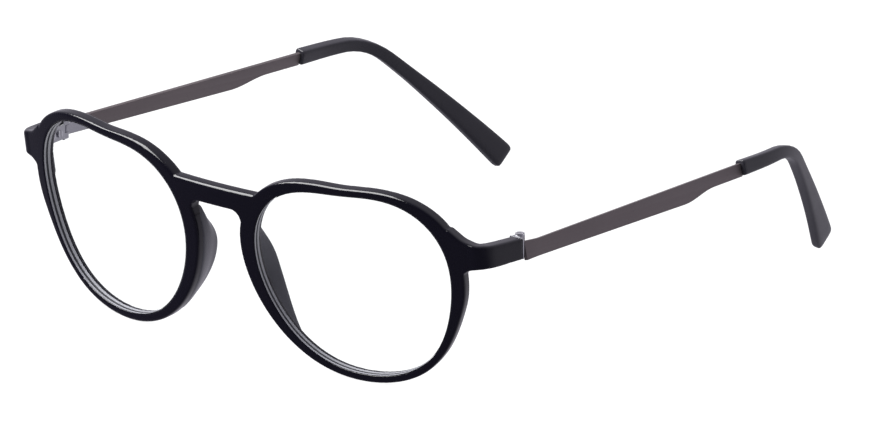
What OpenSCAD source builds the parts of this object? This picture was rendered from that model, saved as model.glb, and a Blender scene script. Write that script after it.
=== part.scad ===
// Eyeglasses: a moulded plastic front with full rims, two flat metal temples with plastic tips.
// X runs from the wearer's right to the left, Y from the front to the back, Z up.
// The wearer's left side is drawn; the right side is its mirror image.

/* [Lenses] */
// Distance from the nose line to the centre of a lens
lens_x = 34.45; // [32:0.05:36]
// Mean radius of a lens opening
lens_r = 23; // [20:0.1:25]
// How much wider than tall the opening is
lens_oval = 1.48; // [0:0.01:2]
// How far the opening's upper corners are drawn out
lens_corner = 1.05; // [0:0.01:1.5]

/* [Front] */
// Depth of the front from its face to its back
front_depth = 2.8; // [2.6:0.1:4]
// Angle a lens turns back from the straight line, seen from above
wrap = 10.1; // [6:0.1:13]
// Radius of the front's own curve
curve_r = 258; // [180:1:400]
// Tilt of the front, its top forward
tilt = 10; // [4:0.5:14]
// Underside of the bridge above the lens centres
bridge_low = 11.45; // [10:0.05:12]
// Top of the bridge above the lens centres
bridge_high = 16; // [14.5:0.1:16.5]

/* [End pieces and hinges] */
// Thickness of an end piece
end_t = 3.3; // [2.8:0.1:3.6]
// Distance from the nose line to a hinge pivot
pivot_x = 65.7; // [65.2:0.1:66]
// Radius of a hinge knuckle
knuckle_r = 1.05; // [0.95:0.05:1.1]
// Radius of the hinge screw's shank
screw_r = 0.55; // [0.5:0.05:0.6]

/* [Temples] */
// Thickness of the metal strip
strip_t = 0.9; // [0.7:0.1:1.1]
// Visible length of the metal strip
strip_len = 75.3; // [70:0.1:80]
// Inward splay of the temples
splay = 2.9; // [0.5:0.1:3.5]
// Lean of the temples, their lower edge outward
lean = 13; // [0:1:15]
// Length of a plastic tip along its curve
tip_len = 64; // [62:0.5:67]
// Thickness of a tip
tip_t = 2.65; // [2.2:0.05:2.9]
// Height of a tip at its collar
tip_h = 3.45; // [3.2:0.05:4.2]

/* [Hidden] */

// The origin is on the ground, midway along the length.
ground_z = 23.1;
middle_y = 68.6;

// Step between the sections of a rim, in degrees
rim_step = 6;
black = [0.06, 0.06, 0.08];
steel = [0.7, 0.7, 0.72];
gunmetal = [0.42, 0.37, 0.38];

// ---- shared construction ----

function flat(lists) = [for (l = lists) for (p = l) p];

// Skin over a row of loops that have the same number of points, closed into a ring or capped.
module loft(loops, ring = false) {
    m = len(loops);
    n = len(loops[0]);
    sides = [
        for (i = [0 : m - (ring ? 1 : 2)], j = [0 : n - 1])
            let (a = i * n + j, b = i * n + (j + 1) % n)
            let (c = ((i + 1) % m) * n + (j + 1) % n, d = ((i + 1) % m) * n + j)
            each [[a, b, c], [a, c, d]]
    ];
    caps = ring ? [] : [[for (j = [n - 1 : -1 : 0]) j], [for (j = [0 : n - 1]) (m - 1) * n + j]];
    polyhedron(points = flat(loops), faces = concat(sides, caps), convexity = 8);
}

module placed() {
    translate([0, -middle_y, ground_z]) children();
}

module right_side() {
    mirror([1, 0, 0]) children();
}

// The wrapped and tilted front: how far back its face is at x, the slope there, and a point of it
// (u across, v up the face, d behind the face). A parabola joins the two sides over the nose.
nose_half = 10;
function side_slope(x) = tan(wrap) + (x - lens_x) / curve_r;
function side_sag(x) = (tan(wrap) + (x - lens_x) / curve_r / 2) * (x - lens_x);
function slope(x) = abs(x) > nose_half
    ? sign(x) * side_slope(abs(x))
    : side_slope(nose_half) * x / nose_half;
function sag(x) = abs(x) > nose_half
    ? side_sag(abs(x))
    : side_sag(nose_half) - side_slope(nose_half) * (nose_half - x * x / nose_half) / 2;
function on_front(u, v, d) =
    let (w = atan(slope(u)))
    [
        u - d * sin(w) * cos(tilt),
        sag(u) - v * sin(tilt) + d * cos(w) * cos(tilt),
        v * cos(tilt) + d * sin(tilt)
    ];

// ---- rims, lenses and nose pads: a is the angle about the lens centre, 0 at the temple side ----

function opening_r(a) =
    lens_r + lens_oval * cos(2 * a) + lens_corner * sin(3 * a) + 0.16 * cos(a) + 0.18 * sin(a)
    + 0.24 * sin(2 * a) - 0.35 * cos(3 * a) - 0.57 * cos(4 * a) - 0.05 * sin(4 * a) - 0.09 * cos(5 * a);
function on_rim(a, r, d) =
    on_front(lens_x + (opening_r(a) + r) * cos(a), (opening_r(a) + r) * sin(a), d);

// Width of the rim's face: thin above and below, broad at the nose and where the end piece leaves.
RIM_FACE = [
    [0, 3.1], [20, 3.3], [34, 3.4], [48, 2.6], [62, 1.9], [76, 1.7], [92, 1.7], [112, 2.2], [130, 2.8],
    [150, 3.6], [164, 4.1], [176, 3.9], [200, 3.2], [215, 2.7], [230, 2.25], [248, 1.95],
    [270, 1.85], [300, 1.7], [320, 1.6], [336, 1.85], [348, 2.3], [360, 3.1]
];
function rim_face(a) = lookup(a, RIM_FACE);

// The lens sits in a V groove round the inside of the rim.
groove_d = 1.45;
groove_depth = 0.5;
function rim_section(a) =
    let (t = rim_face(a), b = front_depth, g = groove_d, h = groove_depth)
    [
        [0, 0.3], [0.3, 0], [t - 1, 0], [t - 0.45, 0.15], [t - 0.12, 0.55], [t, 1.2],
        [t, b - 0.9], [t - 0.25, b - 0.3], [t - 0.8, b], [0.4, b], [0, b - 0.4],
        [0, g + h], [h, g], [0, g - h]
    ];

module rim() {
    loft([
        for (a = [360 - rim_step : -rim_step : 0])
            [for (p = rim_section(a)) on_rim(a, p[0], p[1])]
    ], ring = true);
}

// The loops of a lens run from the middle of its front, over its bevelled edge, to its back.
lens_gap = 0.05;
LENS_LOOPS = [
    [0.15, -0.08], [0.55, 0.14], [0.85, 0.48], [1, 0.75], [1, groove_d - groove_depth + lens_gap],
    [1, groove_d], [1, groove_d + groove_depth - lens_gap], [1, 2.3], [0.85, 2.2],
    [0.55, 2.05], [0.15, 1.95]
];
function lens_edge(d) = (d == groove_d) ? groove_depth - 2 * lens_gap : -lens_gap;
module lens() {
    color([0.93, 0.95, 0.97, 0.3]) loft([
        for (l = LENS_LOOPS)
            [
                for (a = [0 : rim_step : 359])
                    on_rim(a, (l[0] - 1) * opening_r(a) + lens_edge(l[1]) * l[0], l[1])
            ]
    ]);
}

// A pad is a fin behind the nasal side of the rim: it swells to its full depth and dies away.
pad_from = 162;
pad_to = 228;
pad_peak = 186;
pad_rise = 5.4;
pad_gap = 0.05;
function pad_depth(a) =
    let (f = a < pad_peak ? (pad_peak - a) / (pad_peak - pad_from) : (a - pad_peak) / (pad_to - pad_peak))
    front_depth + 0.1 + pad_rise * pow(cos(90 * min(f, 0.98)), 1.1);
function pad_section(a) =
    let (t = rim_face(a) + pad_gap, b = front_depth + pad_gap, z = pad_depth(a), h = z - b)
    [
        [t, 1.2], [t + 0.04 * h, 1.9], [t + 0.03 * h, b - 0.3], [t - 0.08 * h, b + 0.3 * h],
        [t - 0.22 * h, b + 0.6 * h], [1.9, b + 0.88 * h], [1.55, z], [1.2, z], [0.95, b + 0.85 * h],
        [0.8, b + 0.4 * h], [0.75, b], [t - 0.8, b], [t - 0.25, b - 0.3], [t, b - 0.9]
    ];
module nose_pad() {
    color([0.2, 0.2, 0.23]) loft([
        for (a = [pad_to : -rim_step : pad_from])
            [for (p = pad_section(a)) on_rim(a, p[0], p[1])]
    ]);
}

// ---- bridge ----

// The keyhole: a flat underside that turns down into the rims through a round corner.
key_flat = 4.6;
key_r = 2.5;
function bridge_under(u) =
    let (x = min(abs(u) - key_flat, key_r))
    x < 0 ? bridge_low : bridge_low - key_r + sqrt(key_r * key_r - x * x);
function bridge_section(u) =
    let (lo = bridge_under(u), hi = bridge_high, b = front_depth)
    [
        [lo + 0.2, 0.3], [lo + 0.5, 0], [hi - 1, 0], [hi - 0.35, 0.2], [hi, 0.9], [hi, b - 0.7],
        [hi - 0.5, b], [lo + 0.5, b], [lo, b - 0.5], [lo, 0.8]
    ];
BRIDGE_AT = [-10.9, -8.5, -7.1, -6.6, -5.7, -4.6, 0, 4.6, 5.7, 6.6, 7.1, 8.5, 10.9];
module bridge() {
    loft([for (u = BRIDGE_AT) [for (p = bridge_section(u)) on_front(u, p[0], p[1])]]);
}

// ---- end piece ----

// Stations along an end piece: outer face x and y, the way it faces, its bottom and top,
// and how much of the front's tilt it keeps.
end_y = 17.1;
end_x = 68.0;
end_mid_z = 9.2;
function face_y(x) = sag(x) - end_mid_z * tan(tilt);
function face_angle(x) = atan(slope(x));
END_AT = [
    [58.9, face_y(58.9), face_angle(58.9), 3.8, 15.9, 1],
    [60.2, face_y(60.2), face_angle(60.2), 4.6, 14.9, 1],
    [61.6, face_y(61.6), face_angle(61.6), 6.0, 13.8, 1],
    [63.0, face_y(63.0), face_angle(63.0), 6.9, 13.2, 1],
    [64.9, face_y(64.9), 24, 7.35, 12.8, 1],
    [66.2, 7.1, 48, 7.5, 12.7, 0.7],
    [66.9, 8.5, 72, 7.6, 12.6, 0.35],
    [67.25, 10.5, 83, 7.65, 12.55, 0.1],
    [67.65, 14.0, 85, 7.75, 12.5, 0],
    [end_x, end_y, 90, 7.85, 12.5, 0]
];
function end_loop(s) =
    let (lo = s[3], hi = s[4], c = 0.6)
    [
        for (p = [
            [lo + c, 0], [hi - c, 0], [hi - 0.18, 0.18], [hi, c], [hi, end_t - c], [hi - c, end_t],
            [lo + c, end_t], [lo, end_t - c], [lo, c], [lo + 0.18, 0.18]
        ])
            [
                s[0] - p[1] * sin(s[2]),
                s[1] + p[1] * cos(s[2]) - (p[0] - end_mid_z) * tan(tilt) * s[5],
                p[0]
            ]
    ];
module end_piece() {
    loft([for (at = END_AT) end_loop(at)]);
}

module frame_front() {
    color(black) placed() difference() {
        union() {
            rim();
            right_side() rim();
            bridge();
            end_piece();
            right_side() end_piece();
        }
        mount_holes();
        right_side() mount_holes();
    }
}

// ---- hinges ----

pivot_y = 18.7;
knuckle_gap = 0.1;
hinge_bottom = 7.9;
hinge_top = 12.5;
leaf_t = 0.6;
bore_r = screw_r + 0.05;
// Heights where the lower knuckle ends, and where the upper one starts
lower_end = 9.3;
upper_start = 11.0;
// Inner face of the end piece: the leaf lies on it.
inner_x = end_x - end_t;
inner_turn = -7;
leaf_len = 6.4;
mount_r = 0.5;
mount_clear = 0.06;
mount_z = 9.85;
MOUNT_AT = [-1.9, -4.6];

module on_end_piece() {
    translate([inner_x - 0.02, end_y, 0]) rotate([0, 0, inner_turn]) children();
}

// Drawn along the leaf's own X, out through the end piece.
module mount_holes() {
    on_end_piece() for (y = MOUNT_AT) {
        translate([-1, y, mount_z]) rotate([0, 90, 0])
            cylinder(r = mount_r + mount_clear, h = 3.4, $fn = 24);
    }
}

module knuckle(low, high) {
    translate([pivot_x, pivot_y, low]) cylinder(r = knuckle_r, h = high - low, $fn = 48);
}

module pivot_bore(r) {
    translate([pivot_x, pivot_y, hinge_bottom - 1]) cylinder(r = r, h = 6, $fn = 48);
}

end_plate_t = 0.35;
module front_hinge() {
    bracket = [2 * knuckle_r - 0.02, pivot_y - end_y - end_plate_t + 0.1];
    color(steel) placed() difference() {
        union() {
            translate([inner_x - 0.5, end_y, hinge_bottom + 0.05]) cube([end_t + 0.45, end_plate_t, 4.45]);
            on_end_piece() difference() {
                translate([-leaf_t, -leaf_len, 8.3]) cube([leaf_t, leaf_len + 0.1, 3.2]);
                for (y = MOUNT_AT) translate([-1, y, mount_z]) rotate([0, 90, 0])
                    cylinder(r = mount_r + mount_clear, h = 2, $fn = 32);
            }
            for (z = [[hinge_bottom, lower_end], [upper_start, hinge_top]]) {
                knuckle(z[0], z[1]);
                translate([pivot_x - bracket[0] / 2, end_y + end_plate_t - 0.1, z[0]])
                    cube([bracket[0], bracket[1], z[1] - z[0]]);
            }
        }
        pivot_bore(bore_r);
    }
}

// The temple turns about the pivot; its strip starts just behind the end plate.
strip_x = 68.1;
strip_y = 17.85;
strip_mid = 9.7;
module on_temple() {
    translate([strip_x, strip_y, strip_mid]) rotate([0, -lean, splay])
        translate([0, 0, -strip_mid]) children();
}

module rear_hinge() {
    low = lower_end + knuckle_gap;
    high = upper_start - knuckle_gap;
    color(steel) placed() difference() {
        union() {
            knuckle(low, high);
            translate([pivot_x, pivot_y, low]) cube([1.0, 2.4, high - low]);
            on_temple() translate([-strip_t - leaf_t, 2.6, 8.2]) cube([leaf_t, 6.4, 2.9]);
        }
        pivot_bore(bore_r);
    }
}

head_r = 1.0;
head_h = 0.5;
module hinge_screw() {
    color(steel) placed() translate([pivot_x, pivot_y, 0]) difference() {
        union() {
            translate([0, 0, hinge_bottom + 0.1])
                cylinder(r = screw_r, h = hinge_top - hinge_bottom, $fn = 32);
            translate([0, 0, hinge_top]) cylinder(r = head_r, h = head_h, $fn = 32);
        }
        translate([-head_r, -0.13, hinge_top + 0.25]) cube([2 * head_r, 0.26, head_h]);
    }
}

module mount_screw() {
    rotate([0, 90, 0]) difference() {
        union() {
            cylinder(r = mount_r, h = 2.6, $fn = 32);
            translate([0, 0, -0.4]) cylinder(r = 0.85, h = 0.4, $fn = 32);
        }
        translate([-0.85, -0.12, -0.5]) cube([1.7, 0.24, 0.3]);
    }
}
module side_screws() {
    on_end_piece() for (y = MOUNT_AT) translate([-leaf_t, y, mount_z]) mount_screw();
}
module mount_screws() {
    color(steel) placed() {
        side_screws();
        right_side() side_screws();
    }
}

// ---- temples ----

// Edges of the strip seen from the side: its lower edge steps up before the tip.
strip_top = 11.35;
strip_end_top = 11.2;
strip_low = 6.86;
step_from = 54.6;
step_len = 10.8;
step_h = 1.42;
function step_z(f) = strip_low + step_h * (1 - cos(180 * f)) / 2;
core_h = 1.8;
core_mid = 10.03;
STRIP_OUTLINE = concat(
    [[0, 11.8], [0, 7.6], [4, 7.65], [12.5, 7.53]],
    [for (f = [0 : 0.125 : 1]) [step_from + step_len * f, step_z(f)]],
    [[strip_len - 0.05, 8.27], [strip_len - 0.05, strip_end_top], [5, strip_top]]
);

// The tip's centre line: it leaves the strip straight, turns down behind the ear and leans inward.
bend_from = 12.8;
bend_to = 25.7;
bend_down = 43.5;
end_down = 50.3;
in_from = 5.5;
in_to = 22.5;
lean_in = 16.8;
// The tip's flat side stands almost upright again at its end
tip_lean_end = 1;
function down_at(s) =
    s < bend_from ? 0
    : s < bend_to ? bend_down * (s - bend_from) / (bend_to - bend_from)
    : bend_down + (end_down - bend_down) * (s - bend_to) / (tip_len - bend_to);
function in_at(s) = splay + lean_in * max(0, min(1, (s - in_from) / (in_to - in_from)));
function heading(s) =
    [-sin(in_at(s)), cos(in_at(s)) * cos(down_at(s)), -cos(in_at(s)) * sin(down_at(s))];
tip_step = 1;
tip_start = [
    strip_x - strip_len * sin(splay) - strip_t / 2,
    strip_y + strip_len * cos(splay),
    core_mid
];
// Centre line points, one every tip_step
function walk(i) = i == 0 ? [tip_start] : let (w = walk(i - 1))
    concat(w, [w[len(w) - 1] + tip_step * heading((i - 0.5) * tip_step)]);
TIP_LINE = walk(ceil(tip_len / tip_step) + 1);
function tip_point(s) =
    let (i = floor(s / tip_step), f = s / tip_step - i)
    TIP_LINE[i] * (1 - f) + TIP_LINE[i + 1] * f;
function unit(v) = v / norm(v);
function level_side(s) = unit([1, 0, 0] - heading(s)[0] * heading(s));
function level_up(s) = cross(level_side(s), heading(s));
function tip_lean(s) = lean + (tip_lean_end - lean) * s / tip_len;
function tip_side(s) = cos(tip_lean(s)) * level_side(s) + sin(tip_lean(s)) * level_up(s);
function tip_up(s) = cos(tip_lean(s)) * level_up(s) - sin(tip_lean(s)) * level_side(s);

// Half height of the tip: a little slimmer past the collar, then flared to a paddle.
function tip_half(s) = lookup(s, [[0, tip_h / 2], [19.4, 1.38], [33, 1.57], [48.5, 2.2], [tip_len, 2.95]]);
function superellipse(a) = let (c = cos(a), s = sin(a))
    [sign(c) * pow(abs(c), 0.45), sign(s) * pow(abs(s), 0.45)];
function tip_loop(s, k_t, k_h) = [
    for (a = [9 : 18 : 360])
        let (p = superellipse(a))
        tip_point(s) + tip_side(s) * p[0] * k_t * tip_t / 2 + tip_up(s) * p[1] * k_h * tip_half(s)
];
TIP_AT = concat(
    [[0, 0.9, 0.93], [0.3, 1, 1], [5, 1, 1]],
    [for (s = [10 : 3 : tip_len - 3]) [s, 1, 1]],
    [[tip_len - 1.3, 0.98, 0.98], [tip_len - 0.5, 0.85, 0.88], [tip_len, 0.5, 0.66]]
);
core_len = 44;
CORE_AT = concat([0], [for (s = [10 : 4 : core_len]) s]);
module core(grow, from) {
    w = (strip_t - 0.1) / 2 + grow;
    h = core_h / 2 + grow;
    loft([
        for (s = concat([from], CORE_AT, [core_len + grow]))
            let (q = max(s, 0))
            [
                for (k = [[-w, -h], [w, -h], [w, h], [-w, h]])
                    tip_point(q) + (s - q) * heading(q) + tip_side(q) * k[0] + tip_up(q) * k[1]
            ]
    ]);
}

module temple() {
    color(gunmetal) placed() {
        on_temple() translate([-strip_t, 0, 0]) rotate([90, 0, 90])
            linear_extrude(strip_t) polygon(STRIP_OUTLINE);
        core(0, -3);
    }
}

module tip() {
    color(black) placed() difference() {
        loft([for (t = TIP_AT) tip_loop(t[0], t[1], t[2])]);
        core(0.06, -2);
    }
}

frame_front();
placed() lens();  // lens_left
placed() right_side() lens();  // lens_right
placed() nose_pad();  // nose_pad_left
placed() right_side() nose_pad();  // nose_pad_right
front_hinge();  // front_hinge_left
right_side() front_hinge();  // front_hinge_right
mount_screws();
rear_hinge();  // rear_hinge_left
right_side() rear_hinge();  // rear_hinge_right
hinge_screw();  // hinge_screw_left
right_side() hinge_screw();  // hinge_screw_right
temple();  // temple_left
right_side() temple();  // temple_right
tip();  // tip_left
right_side() tip();  // tip_right
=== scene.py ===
import math

import bmesh
import bpy
import numpy as np
from mathutils import Matrix, Vector


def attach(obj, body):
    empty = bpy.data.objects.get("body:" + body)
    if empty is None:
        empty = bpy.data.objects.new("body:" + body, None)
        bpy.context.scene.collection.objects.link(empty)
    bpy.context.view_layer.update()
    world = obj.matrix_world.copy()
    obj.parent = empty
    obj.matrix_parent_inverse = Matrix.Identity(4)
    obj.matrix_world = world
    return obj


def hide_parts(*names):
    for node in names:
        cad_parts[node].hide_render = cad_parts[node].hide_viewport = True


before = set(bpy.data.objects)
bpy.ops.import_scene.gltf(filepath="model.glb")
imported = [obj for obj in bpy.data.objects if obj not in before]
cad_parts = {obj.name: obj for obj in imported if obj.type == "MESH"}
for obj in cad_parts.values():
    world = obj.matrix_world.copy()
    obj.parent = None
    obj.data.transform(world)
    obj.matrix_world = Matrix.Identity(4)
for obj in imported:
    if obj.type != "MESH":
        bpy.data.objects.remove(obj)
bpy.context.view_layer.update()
scene = bpy.context.scene
scene.view_settings.view_transform = "Standard"

MM = 0.001
GROUND_Z = 23.1
MIDDLE_Y = 68.6


def place(x, y, z):
    """A point in the CAD frame. Heights are in millimetres from the level of the lens centres."""
    return Vector((x * MM, (y - MIDDLE_Y) * MM, (z + GROUND_Z) * MM))


def mirrored(points):
    return [Vector((-p.x, p.y, p.z)) for p in points]


# ---- camera, floor and light ----

AZIMUTH, ELEVATION, DISTANCE = math.radians(41.378), math.radians(17.065), 3.45
AIM_RIGHT, AIM_UP = 44.18, 6.71
FOCAL_LENGTH, SENSOR = 663.6, 36
right = Vector((math.cos(AZIMUTH), math.sin(AZIMUTH), 0))
back = Vector(
    (
        math.sin(AZIMUTH) * math.cos(ELEVATION),
        -math.cos(AZIMUTH) * math.cos(ELEVATION),
        math.sin(ELEVATION),
    )
)
up = back.cross(right)
aim = place(0, 0, 0) + AIM_RIGHT * MM * right + AIM_UP * MM * up
camera = bpy.data.objects.new("camera", bpy.data.cameras.new("camera"))
camera.data.lens = FOCAL_LENGTH
camera.data.sensor_width = SENSOR
camera.location = aim + back * DISTANCE
camera.rotation_euler = Matrix((right, up, back)).transposed().to_euler()
camera.data.clip_start, camera.data.clip_end = 0.05, 60
scene.collection.objects.link(camera)
scene.camera = camera


def area_light(name, at, towards, size, watts):
    data = bpy.data.lights.new(name, "AREA")
    data.shape = "RECTANGLE"
    data.size, data.size_y = size
    data.energy = watts
    light = bpy.data.objects.new(name, data)
    light.location = at
    light.rotation_euler = (Vector(towards) - Vector(at)).to_track_quat("-Z", "Y").to_euler()
    scene.collection.objects.link(light)


FRONT_GLOW, BACK_GLOW = (0.1, 0.095, 0.14), (0.55, 0.53, 0.6)
GLOW_FROM, GLOW_TO = 0.35, 0.85


def studio_world():
    """A pale studio: bright behind the object, dim on the side the camera looks from."""
    world = bpy.data.worlds.new("studio")
    world.use_nodes = True
    nodes, links = world.node_tree.nodes, world.node_tree.links
    direction = nodes.new("ShaderNodeTexCoord")
    parts = nodes.new("ShaderNodeSeparateXYZ")
    ramp = nodes.new("ShaderNodeValToRGB")
    shift = nodes.new("ShaderNodeMath")
    shift.operation = "MULTIPLY_ADD"
    shift.inputs[1].default_value = 0.5
    shift.inputs[2].default_value = 0.5
    links.new(direction.outputs["Generated"], parts.inputs[0])
    links.new(parts.outputs["Y"], shift.inputs[0])
    links.new(shift.outputs[0], ramp.inputs[0])
    ramp.color_ramp.elements[0].position = GLOW_FROM
    ramp.color_ramp.elements[0].color = (*FRONT_GLOW, 1)
    ramp.color_ramp.elements[1].position = GLOW_TO
    ramp.color_ramp.elements[1].color = (*BACK_GLOW, 1)
    links.new(ramp.outputs[0], nodes["Background"].inputs["Color"])
    scene.world = world


studio_world()
area_light("softbox", (-0.45, -0.3, 0.8), (0, -0.05, 0.02), (0.9, 0.8), 24)

# ---- shader tools ----


class Value:
    """A socket that takes part in Python arithmetic."""

    def __init__(self, tree, socket):
        self.tree, self.socket = tree, socket

    def _math(self, operation, a, b):
        node = self.tree.nodes.new("ShaderNodeMath")
        node.operation = operation
        for slot, x in zip(node.inputs, (a, b)):
            if isinstance(x, Value):
                self.tree.links.new(x.socket, slot)
            else:
                slot.default_value = x
        return Value(self.tree, node.outputs[0])

    def __add__(self, o):
        return self._math("ADD", self, o)

    def __radd__(self, o):
        return self._math("ADD", o, self)

    def __mul__(self, o):
        return self._math("MULTIPLY", self, o)

    def __rmul__(self, o):
        return self._math("MULTIPLY", o, self)


class Finish:
    """A material under construction, with its one Principled shader."""

    def __init__(self, name, **constants):
        self.material = bpy.data.materials.new(name)
        self.material.use_nodes = True
        self.tree = self.material.node_tree
        self.shader = self.tree.nodes["Principled BSDF"]
        for key, x in constants.items():
            self.shader.inputs[key.replace("_", " ")].default_value = x

    def node(self, kind, settings=None, output=0, **inputs):
        made = self.tree.nodes.new(kind)
        for key, x in (settings or {}).items():
            if key == "stops":
                ramp = made.color_ramp
                while len(ramp.elements) < len(x):
                    ramp.elements.new(0.5)
                for element, (at, colour) in zip(ramp.elements, x):
                    element.position = at
                    element.color = (*colour, 1)
            else:
                setattr(made, key, x)
        for key, x in inputs.items():
            slot = made.inputs[int(key[1:])] if key[0] == "i" and key[1:].isdigit() else made.inputs[key]
            if isinstance(x, Value):
                self.tree.links.new(x.socket, slot)
            else:
                slot.default_value = x
        return Value(self.tree, made.outputs[output])

    def here(self, scale):
        place_of = self.node("ShaderNodeTexCoord", output="Object")
        return self.node("ShaderNodeMapping", Vector=place_of, Scale=scale)

    def noise(self, size, detail, roughness=0.5, stretch=(1, 1, 1)):
        """Noise from 0 to 1 whose grains are about size metres."""
        return self.node(
            "ShaderNodeTexNoise",
            {"noise_dimensions": "3D"},
            Vector=self.here(stretch),
            Scale=1 / size,
            Detail=detail,
            Roughness=roughness,
        )

    def ramp(self, value, *stops):
        return self.node("ShaderNodeValToRGB", {"stops": stops}, Fac=value)

    def mix(self, factor, a, b):
        return self.node("ShaderNodeMix", {"data_type": "RGBA"}, output=2, i0=factor, i6=a, i7=b)

    def bump(self, height, distance):
        return self.node("ShaderNodeBump", Height=height, Distance=distance, Strength=1.0)

    def feed(self, **links):
        for key, x in links.items():
            self.tree.links.new(x.socket, self.shader.inputs[key.replace("_", " ")])
        return self.material


def speckle(finish, size, low, high):
    """A few grains of dust or wear: 0 nearly everywhere, 1 in small spots."""
    return finish.ramp(finish.noise(size, 1), (low, (0, 0, 0)), (high, (1, 1, 1)))


def polished_black():
    f = Finish("polished_black", IOR=1.5, Specular_IOR_Level=0.5)
    cloud = f.noise(0.014, 2)
    fine = f.noise(0.0009, 3)
    scratch = f.noise(0.0006, 2, stretch=(1, 9, 1))
    colour = f.mix(cloud, (0.0015, 0.0013, 0.0035, 1), (0.003, 0.0026, 0.006, 1))
    dust = speckle(f, 0.0012, 0.74, 0.8)
    rough = 0.1 + 0.06 * cloud + 0.05 * fine + 0.25 * dust
    bump = f.bump(0.5 * scratch + fine, 0.000004)
    return f.feed(Base_Color=colour, Roughness=rough, Normal=bump)


def pad_plastic():
    f = Finish("pad_plastic", IOR=1.5)
    cloud = f.noise(0.008, 2)
    fine = f.noise(0.0007, 3)
    colour = f.mix(cloud, (0.03, 0.03, 0.038, 1), (0.05, 0.05, 0.062, 1))
    rough = 0.16 + 0.08 * cloud + 0.08 * fine
    return f.feed(Base_Color=colour, Roughness=rough, Normal=f.bump(fine, 0.000005))


def lens_glass():
    """Clear glass with a faint reflection that grows towards a grazing view."""
    f = Finish("lens_glass")
    smear = f.noise(0.012, 2)
    clear = f.node("ShaderNodeBsdfTransparent", Color=(0.985, 0.992, 0.99, 1))
    gloss = f.node("ShaderNodeBsdfGlossy", Color=(1, 1, 1, 1), Roughness=0.02)
    facing = f.node("ShaderNodeFresnel", IOR=1.28)
    film = f.node("ShaderNodeMixShader", i0=facing * (0.03 + 0.03 * smear), i1=clear, i2=gloss)
    output = next(n for n in f.tree.nodes if n.type == "OUTPUT_MATERIAL")
    f.tree.links.new(film.socket, output.inputs["Surface"])
    return f.material


# A rough two-tone band on the lens edge, which covers the rim's inner wall; it makes the painted
# highlight bands and the painted shade band.
def lens_edge_band(name, dark, light):
    f = Finish(name, IOR=1.45)
    grind = f.noise(0.0006, 3)
    cloud = f.noise(0.01, 2)
    colour = f.mix(0.5 * grind + 0.5 * cloud, (*dark, 1), (*light, 1))
    return f.feed(Base_Color=colour, Roughness=0.45 + 0.3 * grind, Normal=f.bump(grind, 0.00001))


def satin_metal(name, dark, light, grain, rough, metallic):
    f = Finish(name, Metallic=metallic, IOR=1.5)
    brushed = f.noise(0.0008, 4, 0.6, stretch=(1, 0.03, 1))
    cloud = f.noise(0.02, 2)
    pits = speckle(f, 0.0007, 0.7, 0.78)
    colour = f.mix(0.65 * cloud + 0.35 * brushed, dark, light)
    level = rough + 0.12 * brushed + 0.07 * cloud + 0.1 * pits
    return f.feed(Base_Color=colour, Roughness=level, Normal=f.bump(brushed, grain))


def bright_steel(name, base, rough):
    f = Finish(name, Metallic=1.0)
    turned = f.noise(0.00025, 3, stretch=(1, 1, 6))
    cloud = f.noise(0.003, 2)
    colour = f.mix(cloud, tuple(0.82 * c for c in base) + (1,), base + (1,))
    return f.feed(
        Base_Color=colour,
        Roughness=rough + 0.15 * turned + 0.1 * cloud,
        Normal=f.bump(turned, 0.000004),
    )


def tip_plastic():
    f = Finish("tip_plastic", IOR=1.48)
    cloud = f.noise(0.01, 2)
    grain = f.noise(0.0004, 2)
    rub = f.noise(0.004, 3, stretch=(1, 0.4, 1))
    colour = f.mix(cloud, (0.016, 0.015, 0.02, 1), (0.027, 0.026, 0.033, 1))
    rough = 0.24 + 0.1 * rub + 0.06 * grain
    return f.feed(Base_Color=colour, Roughness=rough, Normal=f.bump(grain, 0.000004))


FRONT = polished_black()
PAD = pad_plastic()
LENS = lens_glass()
# Pale bands at the front and back of the lens edge: the ground edge's own pale tone, and also painted
# highlight lines on the rim's inner wall.
GROUND_EDGE_AND_PAINTED_HIGHLIGHT = lens_edge_band("lens_edge_ground_painted_highlight", (0.22, 0.22, 0.24), (0.34, 0.34, 0.37))
# Near-black band in the middle of the lens edge: painted shade where the rim's groove is dark.
PAINTED_GROOVE_SHADE = lens_edge_band("lens_edge_painted_groove_shade", (0.01, 0.01, 0.014), (0.02, 0.02, 0.026))
STRIP = satin_metal(
    "satin_gunmetal", (0.125, 0.108, 0.11, 1), (0.19, 0.162, 0.165, 1), 0.00001, 0.36, 0.75
)
TIP = tip_plastic()
HINGE = bright_steel("hinge_steel", (0.55, 0.55, 0.57), 0.28)
SCREW = bright_steel("screw_steel", (0.68, 0.68, 0.7), 0.2)

# ---- mesh tools ----


def loft_row(face_index, around):
    """The gap between two loops that a face of a loft lies in; its two caps come first."""
    return (face_index - 2) // around


def loft(bm, loops, ring=False):
    """Joins a row of closed loops into one skin, closed into a ring or capped at both ends."""
    rows = []
    for loop in loops:
        verts = [bm.verts.new(p) for p in loop]
        rows.append([bm.edges.new((a, b)) for a, b in zip(verts, verts[1:] + verts[:1])])
    pairs = list(zip(rows, rows[1:])) + ([(rows[-1], rows[0])] if ring else [])
    if not ring:
        for row in (rows[0], rows[-1]):
            bmesh.ops.contextual_create(bm, geom=row)
    for a, b in pairs:
        bmesh.ops.bridge_loops(bm, edges=a + b)


def finished(bm, name, material, body, nodes):
    """Turns the mesh into a piece that rides on a body and stands in for the CAD nodes."""
    bmesh.ops.recalc_face_normals(bm, faces=bm.faces)
    mesh = bpy.data.meshes.new(name)
    bm.to_mesh(mesh)
    bm.free()
    for polygon in mesh.polygons:
        polygon.use_smooth = True
    piece = bpy.data.objects.new(name, mesh)
    scene.collection.objects.link(piece)
    mesh.materials.append(material)
    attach(piece, body)
    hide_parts(*nodes)
    return piece


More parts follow.
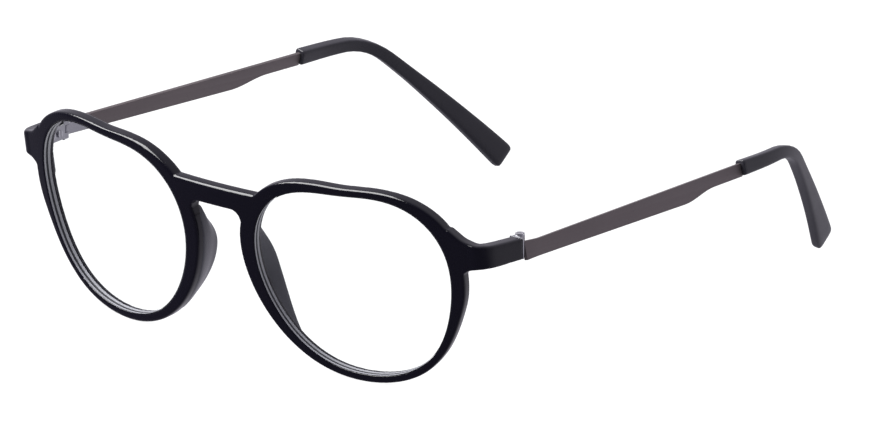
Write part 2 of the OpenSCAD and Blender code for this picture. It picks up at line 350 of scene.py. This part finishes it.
def between(stations, at, soften=0.0):
    """Straight interpolation in a list of (at, value), averaged over a small range."""
    xs, ys = zip(*stations)
    if not soften:
        return float(np.interp(at, xs, ys))
    nearby = [(at + d) % 360 for d in np.linspace(-soften, soften, 7)]
    return float(np.mean([np.interp(x, xs, ys) for x in nearby]))


def rounded(corners, steps=5):
    """Outline of a polygon with rounded corners: each corner is (x, y, rx, ry), going round."""
    outline = []
    n = len(corners)
    for i, (x, y, rx, ry) in enumerate(corners):
        px, py = corners[i - 1][:2]
        qx, qy = corners[(i + 1) % n][:2]

        def pull(tx, ty):
            length = max(math.hypot(tx - x, ty - y), 1e-9)
            share_x, share_y = abs(tx - x) / length, abs(ty - y) / length
            reach = share_x * rx + share_y * ry
            return x + (tx - x) / length * reach, y + (ty - y) / length * reach

        ax, ay = pull(px, py)
        bx, by = pull(qx, qy)
        for k in range(steps + 1):
            t = k / steps
            outline.append(
                (
                    (1 - t) ** 2 * ax + 2 * t * (1 - t) * x + t * t * bx,
                    (1 - t) ** 2 * ay + 2 * t * (1 - t) * y + t * t * by,
                )
            )
    return outline


# ---- the front: wrapped and tilted ----

LENS_X = 34.45
WRAP, TILT = math.radians(10.1), math.radians(10)
CURVE_R = 258
NOSE_HALF = 10
DEPTH = 2.8


def side_slope(x):
    return math.tan(WRAP) + (x - LENS_X) / CURVE_R


def side_sag(x):
    return (math.tan(WRAP) + (x - LENS_X) / CURVE_R / 2) * (x - LENS_X)


def slope(x):
    if abs(x) > NOSE_HALF:
        return math.copysign(side_slope(abs(x)), x)
    return side_slope(NOSE_HALF) * x / NOSE_HALF


def sag(x):
    if abs(x) > NOSE_HALF:
        return side_sag(abs(x))
    return side_sag(NOSE_HALF) - side_slope(NOSE_HALF) * (NOSE_HALF - x * x / NOSE_HALF) / 2


def on_front(u, v, d):
    """A point of the front: u across and v up on its face, d behind the face."""
    w = math.atan(slope(u))
    return place(
        u - d * math.sin(w) * math.cos(TILT),
        sag(u) - v * math.sin(TILT) + d * math.cos(w) * math.cos(TILT),
        v * math.cos(TILT) + d * math.sin(TILT),
    )


OPENING_R = 23
OPENING_WAVES = [
    (1.48, math.cos, 2), (1.05, math.sin, 3), (0.16, math.cos, 1), (0.18, math.sin, 1),
    (0.24, math.sin, 2), (-0.35, math.cos, 3), (-0.57, math.cos, 4), (-0.05, math.sin, 4),
    (-0.09, math.cos, 5),
]


def opening_r(a):
    """Distance from the lens centre to the opening's edge: a circle with a few waves on it."""
    t = math.radians(a)
    return sum((size * wave(n * t) for size, wave, n in OPENING_WAVES), OPENING_R)


def on_rim(a, r, d):
    t = math.radians(a)
    reach = opening_r(a) + r
    return on_front(LENS_X + reach * math.cos(t), reach * math.sin(t), d)


# the width of the rim's face at angles round the lens, from the temple side over the top
RIM_FACE = [
    (0, 3.1), (20, 3.3), (34, 3.4), (48, 2.6), (62, 1.9), (76, 1.7), (92, 1.7), (112, 2.2), (130, 2.8),
    (150, 3.6), (164, 4.15), (176, 3.95), (200, 3.2), (215, 2.7), (230, 2.25), (248, 1.95),
    (270, 1.85), (300, 1.7), (320, 1.6), (336, 1.85), (348, 2.3), (360, 3.1),
]


RIM_STEP, RIM_BLEND = 2.5, 5


def rim_loops():
    loops = []
    for a in np.arange(0, 360, RIM_STEP):
        t = between(RIM_FACE, a, RIM_BLEND)
        section = rounded(
            [(0, 0, 0.12, 0.12), (t, 0, 0.45, 0.8), (t, DEPTH, 0.5, 0.6), (0, DEPTH, 0.3, 0.3)]
        )
        loops.append([on_rim(a, r, d) for r, d in section])
    return loops


BRIDGE_LOW, BRIDGE_HIGH = 11.45, 16
KEY_FLAT, KEY_R = 4.6, 2.5
BRIDGE_HALF, BRIDGE_ROWS = 11.3, 61


def bridge_loops():
    loops = []
    for u in np.linspace(-BRIDGE_HALF, BRIDGE_HALF, BRIDGE_ROWS):
        x = min(abs(u) - KEY_FLAT, KEY_R)
        low = BRIDGE_LOW if x < 0 else BRIDGE_LOW - KEY_R + math.sqrt(KEY_R**2 - x * x)
        section = rounded(
            [
                (low, 0, 0.3, 0.3),
                (BRIDGE_HIGH, 0, 0.8, 1.0),
                (BRIDGE_HIGH, DEPTH, 0.6, 0.6),
                (low, DEPTH, 0.6, 0.6),
            ]
        )
        loops.append([on_front(u, v, d) for v, d in section])
    return loops


END_T, END_MID_Z = 3.3, 9.2


def face_station(x, low, high):
    y = sag(x) - END_MID_Z * math.tan(TILT)
    return (x, y, math.degrees(math.atan(slope(x))), low, high, 1)


# x, y and turn of the end piece's face, its low and high edge, and how much of the tilt it keeps
END_AT = [
    face_station(58.9, 3.8, 15.9),
    face_station(60.2, 4.6, 14.9),
    face_station(61.6, 6.0, 13.8),
    face_station(63.0, 6.9, 13.2),
    (64.9, sag(64.9) - END_MID_Z * math.tan(TILT), 24, 7.35, 12.8, 1),
    (66.2, 7.1, 48, 7.5, 12.7, 0.7),
    (66.9, 8.5, 72, 7.6, 12.6, 0.35),
    (67.25, 10.5, 83, 7.65, 12.55, 0.1),
    (67.65, 14.0, 85, 7.75, 12.5, 0),
    (68.0, 17.1, 90, 7.85, 12.5, 0),
]


def smooth_row(rows, per_step):
    """Points on a smooth curve through the rows."""
    rows = np.array(rows, float)
    padded = np.vstack([2 * rows[0] - rows[1], rows, 2 * rows[-1] - rows[-2]])
    made = []
    for i in range(1, len(rows)):
        a, b, c, d = padded[i - 1], padded[i], padded[i + 1], padded[i + 2]
        for k in range(per_step):
            t = k / per_step
            square, cube = 2 * a - 5 * b + 4 * c - d, 3 * b - a - 3 * c + d
            made.append(0.5 * (2 * b + (c - a) * t + square * t**2 + cube * t**3))
    made.append(rows[-1])
    return made


def end_loops():
    loops = []
    for x, y, turn, low, high, keep in smooth_row(END_AT, 4):
        w = math.radians(turn)
        section = rounded(
            [(low, 0, 0.3, 0.3), (high, 0, 0.7, 0.9), (high, END_T, 0.5, 0.5), (low, END_T, 0.4, 0.4)]
        )
        loops.append(
            [
                place(
                    x - d * math.sin(w),
                    y + d * math.cos(w) - (v - END_MID_Z) * math.tan(TILT) * keep,
                    v,
                )
                for v, d in section
            ]
        )
    return loops


VOXEL, POLISH, POLISH_TIMES = 0.23 * MM, 0.5, 6


def build_front():
    bm = bmesh.new()
    for side in (list, mirrored):
        loft(bm, [side(loop) for loop in rim_loops()], ring=True)
        loft(bm, [side(loop) for loop in end_loops()])
    loft(bm, bridge_loops())
    piece = finished(bm, "front", FRONT, "front", ["frame_front"])
    remesh = piece.modifiers.new("one_skin", "REMESH")
    remesh.mode = "VOXEL"
    remesh.voxel_size = VOXEL
    remesh.use_smooth_shade = True
    soften = piece.modifiers.new("polish", "SMOOTH")
    soften.factor = POLISH
    soften.iterations = POLISH_TIMES


build_front()

# ---- lenses: rows of (share of the opening, depth) from the front round the edge to the back ----

LENS_FRONT = [(0.02, -0.12), (0.3, -0.1), (0.6, -0.04), (0.85, 0.04), (0.97, 0.08), (0.995, 0.1)]
LENS_EDGE = [(0.996, 0.14), (0.996, 0.6), (0.997, 1.15), (0.996, 1.75)]
LENS_BACK = [(0.97, 1.8), (0.85, 1.78), (0.6, 1.7), (0.3, 1.63), (0.02, 1.6)]
LENS_STEP = 4


def build_lens(side, word):
    bm = bmesh.new()
    rows = LENS_FRONT + LENS_EDGE + LENS_BACK
    around = np.arange(0, 360, LENS_STEP)
    loops = [side([on_rim(a, (k - 1) * opening_r(a), d) for a in around]) for k, d in rows]
    loft(bm, loops)
    piece = finished(bm, f"lens_glass_{word}", LENS, "front", [f"lens_{word}"])
    piece.data.materials.append(GROUND_EDGE_AND_PAINTED_HIGHLIGHT)
    piece.data.materials.append(PAINTED_GROOVE_SHADE)
    last = len(LENS_FRONT) - 1
    # Edge rows: the front and back bands are the pale ground edge with painted highlight lines, and the
    # middle band is painted groove shade.
    for polygon in piece.data.polygons:
        row = loft_row(polygon.index, len(around))
        if row in (last + 1, last + 3):
            polygon.material_index = 1
        elif row == last + 2:
            polygon.material_index = 2


PAD_FROM, PAD_TO, PAD_PEAK, PAD_RISE = 161, 228, 186, 5.4
PAD_STEP = 3


def pad_loops():
    loops = []
    for a in np.arange(PAD_FROM, PAD_TO + 1, PAD_STEP):
        span = PAD_PEAK - PAD_FROM if a < PAD_PEAK else PAD_TO - PAD_PEAK
        f = min(abs(a - PAD_PEAK) / span, 0.98)
        z = DEPTH + 0.1 + PAD_RISE * math.cos(math.radians(90 * f)) ** 1.1
        t, h = between(RIM_FACE, a, RIM_BLEND) - 0.02, z - DEPTH
        section = [
            (t - 0.1, 1.2), (t + 0.04 * h, 1.9), (t + 0.03 * h, DEPTH - 0.3),
            (t - 0.08 * h, DEPTH + 0.3 * h), (t - 0.22 * h, DEPTH + 0.6 * h),
            (1.9, DEPTH + 0.88 * h), (1.55, z), (1.2, z), (0.95, DEPTH + 0.85 * h),
            (0.8, DEPTH + 0.4 * h), (0.75, DEPTH - 0.2), (0.9, 1.6),
        ]
        loops.append([on_rim(a, r, d) for r, d in section])
    return loops


def build_pad(side, word):
    bm = bmesh.new()
    loft(bm, [side(loop) for loop in pad_loops()])
    piece = finished(bm, f"pad_{word}", PAD, "front", [f"nose_pad_{word}"])
    round_off = piece.modifiers.new("round_off", "SUBSURF")
    round_off.levels = round_off.render_levels = 2


# ---- temples ----

STRIP_X, STRIP_Y, STRIP_MID = 68.1, 17.85, 9.7
SPLAY, LEAN = math.radians(2.9), math.radians(13)
STRIP_T, STRIP_LEN = 0.9, 75.3
STRIP_TOP, STRIP_END_TOP, STRIP_LOW = 11.35, 11.2, 6.86
STEP_FROM, STEP_LEN, STEP_H = 54.6, 10.8, 1.42
STRIP_BEVEL, EDGE_ANGLE, SHARP_ANGLE = 0.14, math.radians(50), math.radians(28)


def on_temple(x, y, z):
    """A point of the temple strip: x across, y along it, z up, before it splays and leans."""
    dz = z - STRIP_MID
    lx, lz = x * math.cos(LEAN) - dz * math.sin(LEAN), x * math.sin(LEAN) + dz * math.cos(LEAN)
    return place(
        STRIP_X + lx * math.cos(SPLAY) - y * math.sin(SPLAY),
        STRIP_Y + lx * math.sin(SPLAY) + y * math.cos(SPLAY),
        STRIP_MID + lz,
    )


def strip_outline():
    step = [
        (STEP_FROM + STEP_LEN * f, STRIP_LOW + STEP_H * (1 - math.cos(math.pi * f)) / 2)
        for f in np.linspace(0, 1, 13)
    ]
    return (
        [(0, 11.8), (0, 7.6), (4, 7.65), (12.5, 7.53)]
        + step
        + [(STRIP_LEN - 0.05, 8.27), (STRIP_LEN - 0.05, STRIP_END_TOP), (5, STRIP_TOP)]
    )


def build_temple(side, word):
    bm = bmesh.new()
    outline = side([on_temple(-STRIP_T, y, z) for y, z in strip_outline()])
    face = bm.faces.new([bm.verts.new(p) for p in outline])
    shift = side([on_temple(0, 0, 9)])[0] - side([on_temple(-STRIP_T, 0, 9)])[0]
    made = bmesh.ops.extrude_face_region(bm, geom=[face])
    moved = [v for v in made["geom"] if isinstance(v, bmesh.types.BMVert)]
    bmesh.ops.translate(bm, verts=moved, vec=shift)
    bm.normal_update()
    rim = [e for e in bm.edges if len(e.link_faces) == 2 and e.calc_face_angle(0) > EDGE_ANGLE]
    bmesh.ops.bevel(
        bm,
        geom=rim,
        affect="EDGES",
        offset=STRIP_BEVEL * MM,
        segments=3,
        profile=0.5,
        material=-1,
    )
    piece = finished(bm, f"strip_{word}", STRIP, f"{word}_arm", [f"temple_{word}"])
    piece.data.set_sharp_from_angle(angle=SHARP_ANGLE)


TIP_LEN, TIP_T, TIP_H, CORE_MID = 64, 2.65, 3.45, 10.03
BEND_FROM, BEND_TO, BEND_DOWN, END_DOWN = 12.8, 25.7, 43.5, 50.3
IN_FROM, IN_TO, LEAN_IN = 5.5, 22.5, 16.8
LEAN_END = math.radians(1)
WALK_STEP = 0.25


def heading(s):
    """The direction of the tip's middle line, s millimetres from where the strip enters it."""
    if s < BEND_FROM:
        down = 0
    elif s < BEND_TO:
        down = BEND_DOWN * (s - BEND_FROM) / (BEND_TO - BEND_FROM)
    else:
        down = BEND_DOWN + (END_DOWN - BEND_DOWN) * (s - BEND_TO) / (TIP_LEN - BEND_TO)
    inward = SPLAY + math.radians(LEAN_IN * max(0, min(1, (s - IN_FROM) / (IN_TO - IN_FROM))))
    down = math.radians(down)
    return Vector(
        (-math.sin(inward), math.cos(inward) * math.cos(down), -math.cos(inward) * math.sin(down))
    )


def tip_centres(stations):
    at = Vector(
        (
            STRIP_X - STRIP_LEN * math.sin(SPLAY) - STRIP_T / 2,
            STRIP_Y + STRIP_LEN * math.cos(SPLAY),
            CORE_MID,
        )
    )
    made, s = [], 0.0
    for wanted in stations:
        while s < wanted - 1e-9:
            step = min(WALK_STEP, wanted - s)
            at = at + heading(s + step / 2) * step
            s += step
        made.append(at.copy())
    return made


TIP_HALF = [(0, TIP_H / 2), (19.4, 1.36), (33, 1.55), (48.5, 2.18), (TIP_LEN, 2.92)]
TIP_SQUARE = 0.42


def build_tip(side, word):
    ends = [1.6, 0.9, 0.4, 0.1, 0]
    stations = [0, 0.12, 0.35, 0.8, 2, *range(4, TIP_LEN - 2, 2), *(TIP_LEN - e for e in ends)]
    grow = dict(zip((0, 0.12, 0.35), (0.86, 0.95, 0.995)))
    grow.update(zip(stations[-5:], (0.985, 0.93, 0.83, 0.66, 0.5)))
    bm = bmesh.new()
    loops = []
    for s, centre in zip(stations, tip_centres(stations)):
        along = heading(s)
        flat = (Vector((1, 0, 0)) - along.x * along).normalized()
        rise = flat.cross(along)
        lean = LEAN + (LEAN_END - LEAN) * s / TIP_LEN
        across = math.cos(lean) * flat + math.sin(lean) * rise
        tall = math.cos(lean) * rise - math.sin(lean) * flat
        half = between(TIP_HALF, s)
        k = grow.get(s, 1)
        loop = []
        for a in np.arange(5, 365, 10):
            c, n = math.cos(math.radians(a)), math.sin(math.radians(a))
            p = math.copysign(abs(c) ** TIP_SQUARE, c) * k * TIP_T / 2
            q = math.copysign(abs(n) ** TIP_SQUARE, n) * (half - (1 - k) * TIP_T / 2)
            at = centre + across * p + tall * q
            loop.append(place(at.x, at.y, at.z))
        loops.append(side(loop))
    loft(bm, loops)
    finished(bm, f"tip_cover_{word}", TIP, f"{word}_arm", [f"tip_{word}"])


for side, word in ((list, "left"), (mirrored, "right")):
    build_lens(side, word)
    build_pad(side, word)
    build_temple(side, word)
    build_tip(side, word)

# ---- hinges and screws keep their CAD shape ----

for word in ("left", "right"):
    for kind, finish in (("front_hinge", HINGE), ("rear_hinge", HINGE), ("hinge_screw", SCREW)):
        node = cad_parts[f"{kind}_{word}"]
        node.data.materials.clear()
        node.data.materials.append(finish)
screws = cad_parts["mount_screws"]
screws.data.materials.clear()
screws.data.materials.append(SCREW)

# ---- floor ----

FLOOR_GLOW, FLOOR_HALF = 0.97, 30


def build_floor():
    f = Finish("pale_floor", Roughness=0.7)
    cloud = f.noise(0.6, 2)
    f.shader.inputs["Emission Color"].default_value = (1, 1, 1, 1)
    f.shader.inputs["Emission Strength"].default_value = FLOOR_GLOW
    f.feed(Base_Color=f.mix(cloud, (0.07, 0.07, 0.07, 1), (0.075, 0.075, 0.075, 1)))
    bm = bmesh.new()
    bmesh.ops.create_grid(bm, x_segments=1, y_segments=1, size=FLOOR_HALF)
    mesh = bpy.data.meshes.new("floor")
    bm.to_mesh(mesh)
    bm.free()
    mesh.materials.append(f.material)
    floor = bpy.data.objects.new("floor", mesh)
    floor.visible_glossy = False
    scene.collection.objects.link(floor)


build_floor()
